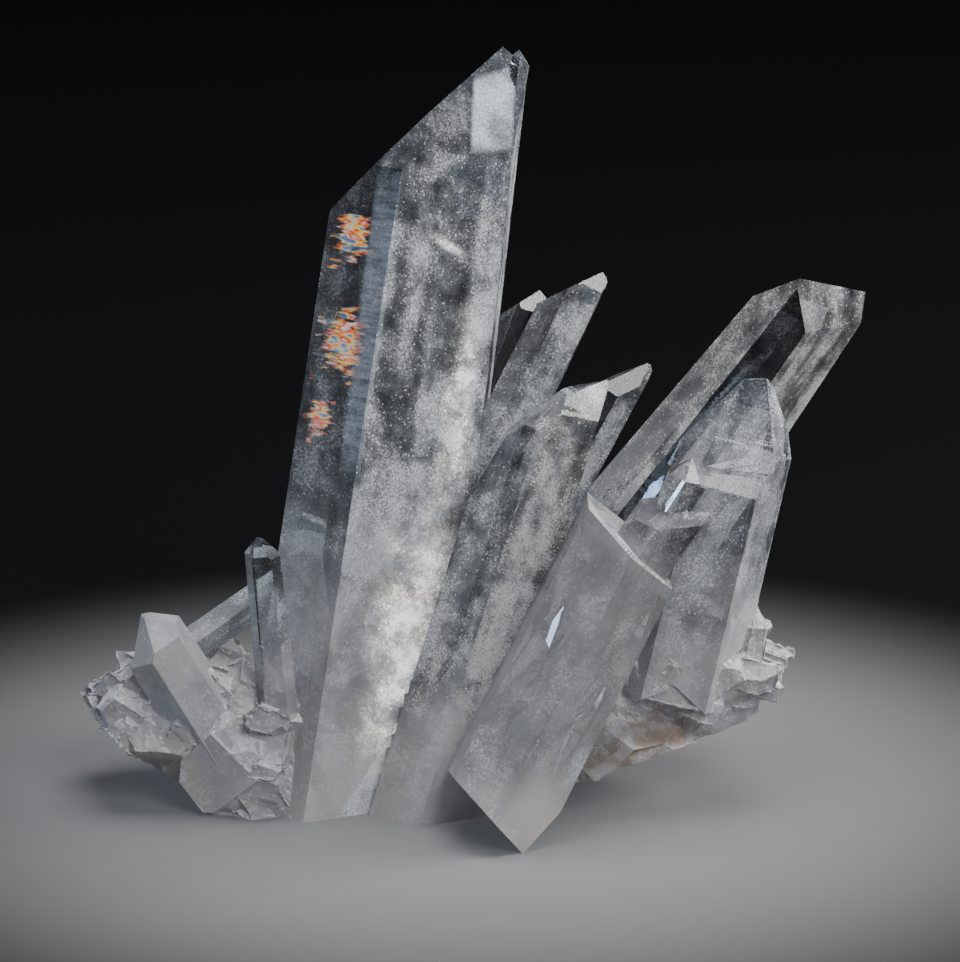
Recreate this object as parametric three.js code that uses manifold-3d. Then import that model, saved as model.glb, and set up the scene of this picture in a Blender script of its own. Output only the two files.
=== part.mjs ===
// Quartz crystal cluster: clear six-sided crystals grown together out of one milky, broken root.
// Millimetres, +Z up. +X is to the right and -Y is the side that shows best. The cluster rests on a
// flat cut, and the origin lies on that cut under the middle of the whole cluster.
import * as THREE from 'three';
import { ConvexGeometry } from 'three/addons/geometries/ConvexGeometry.js';
import { mergeVertices } from 'three/addons/utils/BufferGeometryUtils.js';
import Module from 'manifold-3d';

// Quartz keeps its angles whatever its size: neighbouring prism faces turn by 60 degrees, and each
// slanting face of the point makes 38.2 degrees with the length of the crystal.
const PRISM_STEP = 60;
const POINT_SLANT = 38.2;

// Every crystal narrows a little towards its point.
const TAPER = 0.7;

// The cut that the cluster stands on, and the block that makes it.
const CUT_BLOCK = 400;

// Points spread evenly round a sphere follow each other by this turn.
const GOLDEN_TURN = Math.PI * (3 - Math.sqrt(5));

// How unevenly the breaks of a stone are turned, in radians, and how deep they go into its form.
const BREAK_SCATTER = 0.9;
const BREAK_DEPTH = 0.2;

const WELD = 1e-4;
const CLOSE = 1e-6;

const wasm = await Module();
wasm.setup();

const radians = THREE.MathUtils.degToRad;

// A small fixed random sequence, so that the broken stone comes out the same every time.
function sequence(seed) {
  let state = seed;
  return () => {
    state = (state + 0x6d2b79f5) | 0;
    let mixed = Math.imul(state ^ (state >>> 15), 1 | state);
    mixed = (mixed + Math.imul(mixed ^ (mixed >>> 7), 61 | mixed)) ^ mixed;
    return ((mixed ^ (mixed >>> 14)) >>> 0) / 4294967296;
  };
}

function solidOf(geometry) {
  const bare = geometry.index ? geometry.toNonIndexed() : geometry.clone();
  bare.deleteAttribute('normal');
  bare.deleteAttribute('uv');
  const welded = mergeVertices(bare, WELD);
  return new wasm.Manifold(new wasm.Mesh({
    numProp: 3,
    vertProperties: new Float32Array(welded.attributes.position.array),
    triVerts: new Uint32Array(welded.index.array),
  }));
}

function geometryOf(solid) {
  const mesh = solid.getMesh();
  const geometry = new THREE.BufferGeometry();
  geometry.setAttribute('position', new THREE.BufferAttribute(mesh.vertProperties, mesh.numProp));
  geometry.setIndex(new THREE.BufferAttribute(mesh.triVerts, 1));
  geometry.computeVertexNormals();
  return geometry;
}

// The corners of the space behind a set of flat faces: every point where three faces meet and
// which no other face cuts off.
function cornersBehind(faces) {
  const corners = [];
  const rows = new THREE.Matrix3();
  for (let i = 0; i < faces.length; i += 1) {
    for (let j = i + 1; j < faces.length; j += 1) {
      for (let k = j + 1; k < faces.length; k += 1) {
        const [a, b, c] = [faces[i], faces[j], faces[k]];
        rows.set(...a.normal.toArray(), ...b.normal.toArray(), ...c.normal.toArray());
        if (Math.abs(rows.determinant()) < CLOSE) continue;
        const corner = new THREE.Vector3(a.reach, b.reach, c.reach).applyMatrix3(rows.invert());
        const inside = faces.every((face) => face.normal.dot(corner) < face.reach + CLOSE);
        const known = corners.some((other) => other.distanceTo(corner) < WELD * 10);
        if (inside && !known) corners.push(corner);
      }
    }
  }
  return corners;
}

function flat(normal, point) {
  return { normal, reach: normal.dot(point) };
}

function chip({ point, facing }) {
  return flat(new THREE.Vector3(...facing).normalize(), new THREE.Vector3(...point));
}

function tilted(outward, axis, angle) {
  return outward.clone().multiplyScalar(Math.cos(angle)).addScaledVector(axis, Math.sin(angle));
}

// One crystal. `at` is a point on its middle line, where `sides` gives the widths of four
// neighbouring prism faces; the other two follow from them. `lean` is its slope in degrees to the
// right and to the back, and `turn` the direction of the first prism face, from the front towards
// the right. `shoulders` holds the height over `at` at which each prism face ends and the slanting
// face over it starts, and `root` the length below `at`. `tapers` gives a face its own narrowing,
// and `chips` are flat breaks across the crystal.
function crystal({
  at, lean, turn, sides, shoulders = [], root, slant = POINT_SLANT, taper = TAPER, tapers = {}, chips = [],
}) {
  const origin = new THREE.Vector3(...at);
  const axis = new THREE.Vector3(Math.tan(radians(lean[0])), Math.tan(radians(lean[1])), 1).normalize();
  const across = new THREE.Vector3(0, 1, 0).cross(axis).normalize();
  const depth = axis.clone().cross(across);
  const along = (height) => origin.clone().addScaledVector(axis, height);
  const [a, b, c, d] = sides;
  const widths = [a, b, c, d, a + b - d, c + d - a];

  const outline = [];
  const corner = new THREE.Vector2(0, 0);
  widths.forEach((width, index) => {
    const heading = radians(turn + PRISM_STEP * index);
    outline.push(corner.clone());
    corner.add(new THREE.Vector2(Math.cos(heading), Math.sin(heading)).multiplyScalar(width));
  });
  const middle = outline.reduce((sum, point) => sum.add(point), new THREE.Vector2())
    .divideScalar(outline.length);

  const faces = [flat(axis.clone().negate(), along(-root))];
  outline.forEach((point, index) => {
    const heading = radians(turn + PRISM_STEP * index);
    const outward = across.clone().multiplyScalar(Math.sin(heading))
      .addScaledVector(depth, -Math.cos(heading));
    const offset = across.clone().multiplyScalar(point.x - middle.x)
      .addScaledVector(depth, point.y - middle.y);
    const narrowing = radians(tapers[index] ?? taper);
    faces.push(flat(tilted(outward, axis, narrowing), origin.clone().add(offset)));
    const shoulder = shoulders[index] ?? null;
    if (shoulder === null) return;
    const edge = along(shoulder).add(offset).addScaledVector(outward, -shoulder * Math.tan(narrowing));
    faces.push(flat(tilted(outward, axis, radians(slant)), edge));
  });
  return solidOf(new ConvexGeometry(cornersBehind([...faces, ...chips.map(chip)])));
}

// A lump of broken stone: the space behind flat breaks that face all ways round an egg-shaped form.
// `chips` are breaks that are placed by hand, by a point and the way they face.
function lump({ at, size, breaks = 22, seed, chips = [] }) {
  const random = sequence(seed);
  const middle = new THREE.Vector3(...at);
  const faces = [];
  for (let index = 0; index < breaks; index += 1) {
    const height = 1 - (2 * (index + 0.5)) / breaks;
    const around = index * GOLDEN_TURN + random() * BREAK_SCATTER;
    const ring = Math.sqrt(1 - height * height);
    const facing = new THREE.Vector3(Math.cos(around) * ring, Math.sin(around) * ring, height);
    const support = Math.hypot(facing.x * size[0], facing.y * size[1], facing.z * size[2]);
    const reach = support * (1 - BREAK_DEPTH * random());
    faces.push({ normal: facing, reach: facing.dot(middle) + reach });
  }
  return solidOf(new ConvexGeometry(cornersBehind([...faces, ...chips.map(chip)])));
}

// The tall main crystal. One slanting face takes nearly all of its point.
const mainCrystal = {
  at: [-14.6, 13, 46.9], lean: [7.3, 8.4], turn: -36.5, sides: [12.1, 19.7, 12, 19.2],
  tapers: { 0: 2, 5: 1.4 }, shoulders: [48.2, 51.3, 90, 66, null, 40.4], root: 60,
  chips: [{ point: [5.2, 20, 112.6], facing: [0.55, 0, 0.83] }],
};

// The thin flake that stands beside its tip.
const tipFlake = {
  at: [6.5, 25.4, 107.4], lean: [8, 8.4], turn: -36.5, sides: [1.4, 1.6, 1.4, 1.6],
  taper: -2, shoulders: [2.6, 2.8, 1.4, 1.4, 2.4, 2.6], root: 9,
};

// The second crystal, in front of the main one.
const frontCrystal = {
  at: [2.4, -3.5, 32.8], lean: [16.5, 3], turn: -35, sides: [8.4, 9.7, 5, 8.2],
  shoulders: [28, 31, 36, 38, 32, 22], root: 45,
  chips: [
    { point: [2.2, -3.5, 54.6], facing: [-0.85, 0.1, 0.5] },
    { point: [16, -1, 65], facing: [-0.26, 0.1, 0.94] },
  ],
};

// The slim crystals that stand behind these two.
const slimCrystal = {
  at: [11, 14, 68.5], lean: [26, 6], turn: -42, sides: [4.3, 5.2, 2, 5],
  tapers: { 1: 2.5 }, shoulders: [8.7, 10.2, 13.4, 12.4, 10, 4.6], root: 62,
};
const slimDarkCrystal = {
  at: [6.2, 23, 68.8], lean: [20, 8], turn: -38.5, sides: [4, 4.2, 2, 4],
  shoulders: [4, 3, 5, 5, 5, 0], root: 66,
};
const slimFrontCrystal = {
  at: [17.1, 12, 54.9], lean: [28.6, 5], turn: -35, sides: [6.8, 3.6, 3, 5],
  shoulders: [7.2, 10, 12.6, 12.6, 9, 3.8], root: 50,
};

// The long crystal that leans far out to the right.
const rightCrystal = {
  at: [38.1, 18, 55.1], lean: [36.2, 3], turn: -62, sides: [8.4, 6.4, 18.5, 9],
  taper: 3.1, shoulders: [30, null, 32, 30, 29, 18.4], root: 75,
  chips: [
    { point: [48.3, 8.5, 77.2], facing: [0.832, -0.516, 0.202] },
    { point: [59.2, 20, 74], facing: [0.86, -0.1, -0.1] },
  ],
};

// The arched crystal in front of it, and the short ones at its foot.
const archCrystal = {
  at: [37.2, -2, 51.2], lean: [13, 3], turn: -60, sides: [8, 9.4, 9.4, 8.6], slant: 29,
  shoulders: [0.4, -0.6, 5, 9, 9, 4.2], root: 34,
  chips: [
    { point: [41.7, -2, 66.4], facing: [0, 0.2, 0.98] },
    { point: [45.3, -2, 63.8], facing: [0.81, 0.1, 0.58] },
  ],
};
const archFootCrystal = {
  at: [30.2, -8, 51.2], lean: [20, 0], turn: -30, sides: [2.8, 3, 2.8, 3],
  shoulders: [2, 2, 2, 2, 2, 2], root: 30,
};
const bluntCrystal = {
  at: [24, -10, 40.8], lean: [33, -3], turn: -40, sides: [5.4, 6, 4.8, 5.6], root: 40,
  chips: [
    { point: [28, -10, 48.5], facing: [0.05, -0.3, 0.95] },
    { point: [21, -10, 46.5], facing: [-0.6, -0.2, 0.78] },
  ],
};

// The broad crystal in front, broken off at both ends.
const brokenCrystal = {
  at: [12.2, -14, 23], lean: [27, 12], turn: -30, sides: [9.6, 9.5, 9, 9.5], taper: 0, root: 32,
  chips: [
    { point: [18.4, -10, 48], facing: [0.7, 0, 0.71] },
    { point: [-2.5, -22, 10], facing: [-0.74, -0.2, -0.64] },
    { point: [12, -22, 5], facing: [0.74, -0.2, -0.64] },
  ],
};

// The small crystals on the left.
const leftLeaningCrystal = {
  at: [-42.8, -5, 17.5], lean: [-30, -3], turn: -40, sides: [5.5, 5.5, 5, 5.5],
  shoulders: [9.4, 10.5, 12, 12, 10.5, 9], root: 30,
  chips: [{ point: [-46.8, -5, 30.6], facing: [0.12, -0.1, 0.97] }],
};
const leftClearCrystal = {
  at: [-31.2, -7, 34], lean: [-5, 0], turn: -60, sides: [2.3, 3, 2.6, 2.4],
  shoulders: [7.5, 7, 6.5, 7, 7, 7.5], root: 20,
};
const leftCrossingCrystal = {
  at: [-38.2, 6, 26.5], lean: [54, 0], turn: -40, sides: [3, 3, 3, 3],
  shoulders: [12, 12, 12, 12, 12, 12], root: 14,
};

// Splinters that stick out sideways at the two ends of the root and at the foot of the arch.
const splinters = [
  {
    at: [-55.5, 3, 14], lean: [-72, -4], turn: -30, sides: [2.4, 3.4, 2.4, 3.4],
    shoulders: [2.4, 2.4, 3, 2, 2, 1], root: 8,
  },
  {
    at: [-51.5, 4, 18.6], lean: [-42, -4], turn: -50, sides: [4, 3.4, 4, 3.6],
    shoulders: [2, 2, 3, 2, 2, 1], root: 8,
  },
  {
    at: [41.6, 0, 19.4], lean: [72, 0], turn: -30, sides: [4, 3.4, 4, 3.6],
    shoulders: [2.6, 3, 2, 2, 3, 3], root: 10,
  },
  {
    at: [41.4, -2, 25.6], lean: [10, 0], turn: -40, sides: [2.4, 3, 2.4, 3],
    shoulders: [3, 3, 3.4, 4.4, 5, 5], root: 10,
  },
  {
    at: [-44, 0, 6], lean: [-55, -20], turn: -20, sides: [3.6, 4.4, 3, 4.4],
    shoulders: [3, 3, 3, 3, 3, 3], root: 8,
  },
];

// Shorter crystals at the back, which lean away from the main one.
const backCrystals = [
  {
    at: [-22, 30, 24], lean: [-8, 24], turn: -20, sides: [7, 6, 7, 6],
    shoulders: [10, 12, 11, 10, 8, 9], root: 28,
  },
  {
    at: [-6, 33, 18], lean: [6, 34], turn: -50, sides: [6, 7, 5, 7],
    shoulders: [8, 9, 12, 10, 8, 7], root: 26,
  },
  {
    at: [12, 30, 22], lean: [16, 26], turn: -10, sides: [6, 5, 6, 5],
    shoulders: [8, 9, 8, 6, 6, 7], root: 26,
  },
  {
    at: [29, 25, 27], lean: [30, 30], turn: -35, sides: [5, 5.5, 5, 5.5],
    shoulders: [9, 9, 8, 7, 8, 9], root: 15,
  },
  {
    at: [-38, 20, 11], lean: [-30, 32], turn: -30, sides: [5, 5, 4.5, 5],
    shoulders: [7, 8, 7, 7, 6, 7], root: 20,
  },
];

// The milky root that they all grow from. It overhangs the cut at both ends.
const UNDERCUT_LEFT = { point: [-50, 2, 4.6], facing: [-0.68, -0.19, -0.7] };
const UNDERCUT_RIGHT = { point: [30, 2, 7.6], facing: [0.32, -0.24, -0.92] };
const stones = [
  { at: [-46, 4, 13], size: [14, 13, 10], seed: 5, chips: [UNDERCUT_LEFT] },
  { at: [-33.4, 0, 9], size: [11, 11.5, 14], seed: 3 },
  { at: [-22, 14, 8], size: [18, 17, 13], seed: 13 },
  { at: [2, 12, 8], size: [22, 19, 15], seed: 7, chips: [UNDERCUT_RIGHT] },
  { at: [31, 3, 20], size: [14.6, 14, 12], breaks: 30, seed: 9, chips: [UNDERCUT_RIGHT] },
  { at: [21, 2, 10], size: [14, 14, 11], seed: 15, chips: [UNDERCUT_RIGHT] },
  { at: [22, 9, 23], size: [11, 11, 11], seed: 17 },
];

// Ledges of broken stone that stand a little out of the root, so that its surface is ragged. They
// are spread over each stone from its lowest to its highest level, given as shares of its height.
const LEDGE_WIDTH = [2.6, 6];
const LEDGE_FLATNESS = [0.4, 0.7];
const LEDGE_BREAKS = 13;
const LEDGE_SINK = 0.84;
const LEDGE_LEVELS = [-0.35, 0.8];
const ledges = [
  { stone: stones[0], count: 22, seed: 31 },
  { stone: stones[1], count: 10, seed: 32 },
  { stone: stones[2], count: 12, seed: 35 },
  { stone: stones[3], count: 10, seed: 36 },
  { stone: stones[4], count: 26, seed: 38 },
  { stone: stones[5], count: 8, seed: 34 },
];

function ledgesOn({ stone, count, seed }) {
  const random = sequence(seed);
  const between = ([low, high]) => low + (high - low) * random();
  return Array.from({ length: count }, (unused, index) => {
    const height = THREE.MathUtils.lerp(...LEDGE_LEVELS, (index + random()) / count);
    const around = index * GOLDEN_TURN + random();
    const ring = Math.sqrt(1 - height * height);
    const out = [Math.cos(around) * ring, Math.sin(around) * ring, height];
    const width = between(LEDGE_WIDTH);
    return lump({
      at: out.map((share, axis) => stone.at[axis] + share * stone.size[axis] * LEDGE_SINK),
      size: [width, width * between(LEDGE_FLATNESS), width * between(LEDGE_FLATNESS)],
      breaks: LEDGE_BREAKS, seed: seed * count + index, chips: stone.chips,
    });
  });
}

const crystals = [
  mainCrystal, tipFlake, frontCrystal, slimCrystal, slimDarkCrystal, slimFrontCrystal, rightCrystal,
  archCrystal, archFootCrystal, bluntCrystal, brokenCrystal, leftLeaningCrystal,
  leftClearCrystal, leftCrossingCrystal, ...splinters, ...backCrystals,
];

const below = new THREE.BoxGeometry(CUT_BLOCK, CUT_BLOCK, CUT_BLOCK).translate(0, 0, -CUT_BLOCK / 2);
const cluster = [...crystals.map(crystal), ...stones.map(lump), ...ledges.flatMap(ledgesOn)]
  .reduce((whole, piece) => whole.add(piece))
  .subtract(solidOf(below));

const geometry = geometryOf(cluster);
geometry.computeBoundingBox();
const centre = geometry.boundingBox.getCenter(new THREE.Vector3());
geometry.translate(-centre.x, -centre.y, 0);
const quartz = new THREE.Mesh(
  geometry, new THREE.MeshStandardMaterial({ color: 0xd9dadd, roughness: 0.12, metalness: 0 }));
quartz.name = 'quartz_cluster';

const group = new THREE.Group();
group.add(quartz);

export default group;
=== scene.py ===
"""The look of the quartz crystal cluster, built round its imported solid.

Everything is in metres, in the frame of the solid: +Z up, -Y the side that shows best.
"""

import math

import bpy
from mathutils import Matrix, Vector, noise


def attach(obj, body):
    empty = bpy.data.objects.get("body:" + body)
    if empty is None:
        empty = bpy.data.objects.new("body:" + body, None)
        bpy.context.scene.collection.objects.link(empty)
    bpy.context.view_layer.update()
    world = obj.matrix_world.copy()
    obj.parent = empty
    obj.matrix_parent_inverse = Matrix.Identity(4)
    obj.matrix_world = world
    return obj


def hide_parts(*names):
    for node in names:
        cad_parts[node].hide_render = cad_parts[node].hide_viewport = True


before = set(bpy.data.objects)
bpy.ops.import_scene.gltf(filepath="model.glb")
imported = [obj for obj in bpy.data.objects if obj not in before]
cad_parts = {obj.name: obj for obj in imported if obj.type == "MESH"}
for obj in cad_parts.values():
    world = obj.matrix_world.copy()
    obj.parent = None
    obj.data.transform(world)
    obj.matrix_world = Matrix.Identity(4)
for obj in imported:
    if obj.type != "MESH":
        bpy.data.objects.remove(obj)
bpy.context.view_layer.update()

bl_info = {
    "name": "Quartz crystal cluster",
    "version": (1, 0, 0),
    "blender": (4, 5, 0),
    "location": "3D View > Sidebar > Quartz",
    "description": "Builds the clear crystals, the veils inside them and the milky root",
    "category": "Object",
}

NODE = "quartz_cluster"
BODY = "root"
MM = 0.001

# The crystals' own numbers are measured from a point that lies here in the frame, in millimetres.
MEASURED_FROM = (0.568, -7.461, 0.0)

# Each slanting face of a point makes this angle with the length of its crystal.
POINT_SLANT = math.radians(38.2)
PRISM_STEP = 60

# How far the slope of a face may be from that of a prism face or a point face, in radians, and how
# far its middle may be from the crystal's middle line, in radii.
PRISM_SLOPE_LOW = -0.02
PRISM_SLOPE_HIGH = 0.09
POINT_SLOPE_ROOM = 0.2
FACE_REACH = 1.5
CHIP_REACH = 1.2

# A face that leans back further than this belongs to a crystal's point.
LEAST_POINT_SLOPE = 0.3

# A face is level, such as the cut, where its normal has more than LEVEL along Z. It is turned
# towards the viewer where its normal has less than TOWARDS_VIEWER along Y. It looks the same way
# as a prism face where the product of their normals is over SAME_WAY.
LEVEL = 0.999
TOWARDS_VIEWER = -0.25
SAME_WAY = 0.98

# name: point on the middle line, slope right and back, turn of the first prism face, its radius,
# the heights over that point between which the milky root fades out into clear quartz, how milky
# it is below, how dense the veils are on its six prism faces and on the faces of its point, and how
# warm they look.
CRYSTALS = {
    "main": dict(
        at=(-14.6, 13, 46.9), lean=(7.3, 8.4), turn=-36.5, radius=16, fade=(-40, 6), milk=0.8,
        veils=(0.3, 1.1, 1.6, 0.3, 0.2, 0.25), tip_veils=(0.35, 0.35, 1.4, 0.3, 0.2, 0.2), warmth=0.2),
    "front": dict(
        at=(2.4, -3.5, 32.8), lean=(16.5, 3), turn=-35, radius=8.5, fade=(-28, -6), milk=0.8,
        veils=(0.9, 1.9, 1.6, 0.3, 0.2, 0.2), tip_veils=(1.0, 1.5, 1.2, 0.4, 0.3, 0.4), warmth=0.6),
    "slim": dict(
        at=(11, 14, 68.5), lean=(26, 6), turn=-42, radius=5, fade=(-40, -20), milk=0.5,
        veils=(0.9, 1.7, 0.9, 0.2, 0.2, 0.2), tip_veils=(0.5, 0.4, 3.0, 1.0, 0.2, 0.2), warmth=0.2),
    "slim_dark": dict(
        at=(6.2, 23, 68.8), lean=(20, 8), turn=-38.5, radius=4, fade=(-40, -20), milk=0.5,
        veils=(0.1, 0.15, 0.3, 0.1, 0.1, 0.1), tip_veils=(0.2, 0.2, 0.5, 0.2, 0.1, 0.1), warmth=0.2),
    "slim_front": dict(
        at=(17.1, 12, 54.9), lean=(28.6, 5), turn=-35, radius=5.5, fade=(-36, -18), milk=0.6,
        veils=(0.2, 2.0, 1.2, 0.2, 0.2, 0.2), tip_veils=(0.4, 0.8, 1.8, 0.6, 0.2, 0.2), warmth=0.3),
    "right": dict(
        at=(38.1, 18, 55.1), lean=(36.2, 3), turn=-62, radius=11, fade=(-42, -16), milk=0.7,
        veils=(1.1, 0.15, 1.7, 0.6, 0.3, 0.5), tip_veils=(0.9, 0.1, 1.0, 0.6, 0.6, 0.9), warmth=0.6),
    "arch": dict(
        at=(37.2, -2, 51.2), lean=(13, 3), turn=-60, radius=9, fade=(-28, -4), milk=0.8,
        veils=(0.8, 0.8, 1.0, 0.6, 0.3, 0.3), tip_veils=(0.9, 0.5, 1.3, 0.9, 0.3, 0.8), warmth=0.0),
    "arch_foot": dict(
        at=(30.2, -8, 51.2), lean=(20, 0), turn=-30, radius=3, fade=(-12, 2), milk=0.7,
        veils=(0.9,) * 6, tip_veils=(0.9,) * 6, warmth=0.2),
    "blunt": dict(
        at=(24, -10, 40.8), lean=(33, -3), turn=-40, radius=6, fade=(-8, 12), milk=0.8,
        veils=(0.9,) * 6, tip_veils=(0.9,) * 6, warmth=0.2),
    "broken": dict(
        at=(12.2, -14, 23), lean=(27, 12), turn=-30, radius=10, fade=(10, 60), milk=0.42,
        veils=(0.3,) * 6, tip_veils=(0.3,) * 6, warmth=0.4),
    "left_leaning": dict(
        at=(-42.8, -5, 17.5), lean=(-30, -3), turn=-40, radius=5.5, fade=(6, 30), milk=0.95,
        veils=(0.8,) * 6, tip_veils=(0.8,) * 6, warmth=0.1),
    "left_clear": dict(
        at=(-31.2, -7, 34), lean=(-5, 0), turn=-60, radius=3, fade=(-18, -4), milk=0.7,
        veils=(0.4,) * 6, tip_veils=(0.3,) * 6, warmth=0.0),
    "left_crossing": dict(
        at=(-38.2, 6, 26.5), lean=(54, 0), turn=-40, radius=3, fade=(-8, 10), milk=0.6,
        veils=(0.8,) * 6, tip_veils=(0.8,) * 6, warmth=0.1),
    "back_left": dict(
        at=(-22, 30, 24), lean=(-8, 24), turn=-20, radius=6.5, fade=(-10, 10), milk=0.7,
        veils=(0.8,) * 6, tip_veils=(0.7,) * 6, warmth=0.3),
    "back_middle": dict(
        at=(-6, 33, 18), lean=(6, 34), turn=-50, radius=6.5, fade=(-8, 12), milk=0.7,
        veils=(0.8,) * 6, tip_veils=(0.7,) * 6, warmth=0.3),
    "back_right": dict(
        at=(12, 30, 22), lean=(16, 26), turn=-10, radius=5.5, fade=(-10, 8), milk=0.7,
        veils=(0.8,) * 6, tip_veils=(0.7,) * 6, warmth=0.3),
    "back_far_right": dict(
        at=(29, 25, 27), lean=(30, 30), turn=-35, radius=5, fade=(-10, 8), milk=0.7,
        veils=(0.8,) * 6, tip_veils=(0.7,) * 6, warmth=0.3),
    "back_far_left": dict(
        at=(-38, 20, 11), lean=(-30, 32), turn=-30, radius=5, fade=(4, 20), milk=0.9,
        veils=(0.8,) * 6, tip_veils=(0.7,) * 6, warmth=0.1),
}

# How gritty the milky skin is: broken stone, the broken front crystal, and the other crystals.
STONE_GRIT = 1.0
BROKEN_GRIT = 0.08
CRYSTAL_GRIT = 0.35

# The view from the front, in pixels, and the width of the camera's sensor, in millimetres.
VIEW_WIDTH = 960
VIEW_HEIGHT = 962
SENSOR_WIDTH = 36

# Sheets in and on the main crystal, each along prism face `face`, or along its slanting face where
# `face` is None, at a depth in millimetres under the clear surface. Those at ON_SKIN lie just over
# the milky haze. The four corners are where they show in the view from the front, in its pixels,
# from the lower left round to the upper left.
ON_SKIN = -0.045
RAINBOW_SHEETS = [
    dict(face=0, depth=0.7, corners=((328, 270), (378, 266), (382, 206), (334, 204))),
    dict(face=0, depth=0.9, corners=((310, 386), (372, 386), (380, 300), (322, 298))),
    dict(face=0, depth=0.8, corners=((301, 446), (334, 444), (338, 396), (306, 396))),
]
# A painted reflection in the main crystal's left face, crossed by real growth lines.
STRIPED_REFLECTION_SHEET = dict(face=0, depth=0.5, corners=((334, 500), (364, 500), (410, 140), (378, 150)))
CORE_SHEETS = [
    dict(face=1, depth=ON_SKIN, corners=((338, 800), (440, 800), (474, 470), (370, 490))),
    dict(face=1, depth=ON_SKIN - 0.006, corners=((372, 700), (440, 700), (458, 520), (392, 540))),
]
SPARKLE_SHEET = dict(
    face=1, depth=ON_SKIN - 0.003, corners=((424, 520), (472, 520), (496, 280), (446, 290)))
DIAGONAL_SHEET = dict(face=1, depth=ON_SKIN, corners=((420, 236), (468, 266), (472, 252), (428, 226)))
TIP_SHEET = dict(face=None, depth=ON_SKIN, corners=((468, 158), (514, 154), (518, 62), (472, 74)))

# The grains are turned away from the frame's axes, so that no flat face cuts them in rows.
GRAIN_TURN = (0.6, 0.4, 0.9)

# How milky the stone is, how far its edge to the clear quartz wanders, in metres, how often it does
# so in a metre, and between which heights over the cut every crystal turns milky.
STONE_MILK = 0.9
MILK_WANDER = 0.008
MILK_WANDER_RATE = 110.0
FOOT_MILK = (0.020, 0.004)
LEAST_MILK = 0.01

# A face under CRYSTAL_FACE_AREA is a chip, and one under ROOT_FACE_AREA is stone where it lies in
# the root. The rises say how far over the milky root each of these holds. Square metres and metres.
CRYSTAL_FACE_AREA = 9e-6
CHIP_RISE = 0.006
ROOT_FACE_AREA = 3e-5
ROOT_RISE = 0.008

# name, kind and size of the two textures that break up the stone, and their share of its depth.
STONE_BREAKS = (("chips", "VORONOI", 0.0034, 1.0), ("grain", "CLOUDS", 0.0012, 0.35))

# The longest edge of the haze, and where the veils lie between the clear surface and the haze.
HAZE_EDGE = 0.004
VEIL_SHARE_OF_GAP = 0.4

# How many squares a sheet has along each side, how high and how often its waves go, in metres and
# in times a metre, and how far it may be from the clear surface beyond its own depth.
SHEET_CUTS = 24
SHEET_WAVE = 0.0002
SHEET_WAVE_SHARE = 0.3
SHEET_WAVE_RATE = 420.0
SHEET_LEAST_REACH = 0.00025

# name, place, size, power and colour of each soft lamp, and the place that all of them light.
LAMPS = (
    ("soft_top", (0.1, 0.0, 0.8), 0.5, 4.0, (1, 0.99, 0.97)),
    ("soft_left", (-0.7, 0.05, 0.3), 0.3, 1.0, (0.62, 0.78, 1)),
    ("soft_right", (0.6, 0.1, 0.35), 0.35, 3.5, (1, 0.98, 0.95)),
    ("soft_front", (0.35, -0.75, 0.6), 0.4, 3.0, (1, 1, 1)),
)
LAMPS_AIM = (0.0, 0.0, 0.05)

FLOOR_RADIUS = 2.4
FLOOR_SIDES = 96
QUARTZ_IOR = 1.544


# Places and directions of the crystals


def spot(x, y, z):
    """A measured point in the frame, in metres."""
    return Vector((x + MEASURED_FROM[0], y + MEASURED_FROM[1], z + MEASURED_FROM[2])) * MM


class Axes:
    """The middle line of a crystal and the two directions across it."""

    def __init__(self, name):
        facts = CRYSTALS[name]
        right, back = (math.radians(angle) for angle in facts["lean"])
        self.name = name
        self.at = spot(*facts["at"])
        self.up = Vector((math.tan(right), math.tan(back), 1)).normalized()
        self.across = Vector((0, 1, 0)).cross(self.up).normalized()
        self.depth = self.up.cross(self.across)
        self.turn = facts["turn"]
        self.radius = facts["radius"] * MM
        self.fade = [height * MM for height in facts["fade"]]
        self.milk = facts["milk"]
        self.veils = facts["veils"]
        self.tip_veils = facts["tip_veils"]
        self.warmth = facts["warmth"]

    def outward(self, face):
        """The direction that prism face number `face` looks in."""
        heading = math.radians(self.turn + PRISM_STEP * face)
        return self.across * math.sin(heading) - self.depth * math.cos(heading)

    def slope(self, normal):
        """How far a face leans back from the length of the crystal."""
        return math.asin(max(-1.0, min(1.0, normal.dot(self.up))))

    def face_like(self, normal):
        """The number of the prism face that looks most the same way across the crystal."""
        return max(range(6), key=lambda face: self.outward(face).dot(normal))

    def height(self, point):
        """How far up the crystal a point lies."""
        return (point - self.at).dot(self.up)

    def off_axis(self, point):
        """How far a point lies from the crystal's middle line."""
        offset = point - self.at
        return (offset - self.up * offset.dot(self.up)).length


def view_ray(view, pixel):
    """The camera's place, and its direction towards a pixel of the view."""
    tilt = view.elevation
    ahead = Vector((0, math.cos(tilt), -math.sin(tilt)))
    upward = Vector((0, math.sin(tilt), math.cos(tilt)))
    reach = view.lens / SENSOR_WIDTH * VIEW_HEIGHT
    eye = Vector(view.target) - ahead * view.distance
    right = Vector((pixel[0] - VIEW_WIDTH / 2, 0, 0))
    down = pixel[1] - VIEW_HEIGHT / 2
    return eye, ahead * reach + right - upward * down


def crystal_axes():
    """The axes of all crystals, in the order of CRYSTALS."""
    return [Axes(name) for name in CRYSTALS]


def crystal_of_face(normal, centre, axes):
    """The crystal that a flat face belongs to, or None on broken stone."""
    best = None
    for crystal in axes:
        slope = crystal.slope(normal)
        is_prism = PRISM_SLOPE_LOW < slope < PRISM_SLOPE_HIGH
        is_point = abs(slope - POINT_SLANT) < POINT_SLOPE_ROOM
        off = crystal.off_axis(centre) / crystal.radius
        if (is_prism or is_point) and off < FACE_REACH and (best is None or off < best[0]):
            best = (off, crystal)
    return best and best[1]


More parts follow.
